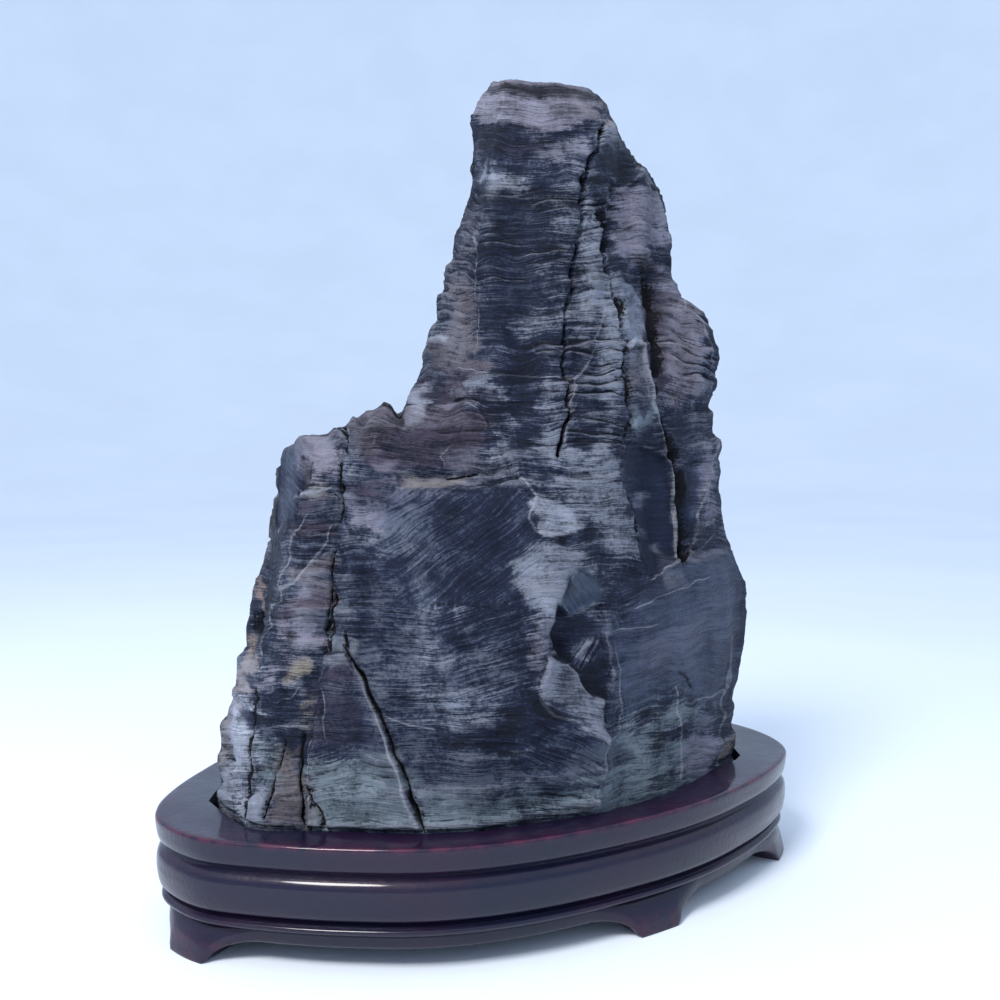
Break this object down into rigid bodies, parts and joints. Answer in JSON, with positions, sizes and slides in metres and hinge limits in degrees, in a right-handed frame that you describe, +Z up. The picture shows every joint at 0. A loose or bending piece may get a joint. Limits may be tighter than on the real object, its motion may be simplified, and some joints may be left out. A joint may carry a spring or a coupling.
{
  "type": "scholars rock",
  "caption": "Upright slate-grey scholar's rock shaped like a peak with a low shoulder, seated in a moulded, lacquered wooden stand on bracket feet.",
  "frame": {"origin": "on the table, under the middle of the stand", "axes": "+Z up, through the peak's height; X along the stand's length, with the stone's low shoulder towards -X; the show face looks towards -Y"},
  "size_m": [0.2017, 0.1311, 0.2377],
  "materials": {
    "stone": "natural broken slate with fine beds, unpolished, dull with worn paler edges",
    "wood": "dark red-brown lacquer, glossy, worn red along the rim"
  },
  "bodies": {
    "root": {"stone": "stone", "stand": "wood"}
  },
  "joints": []
}
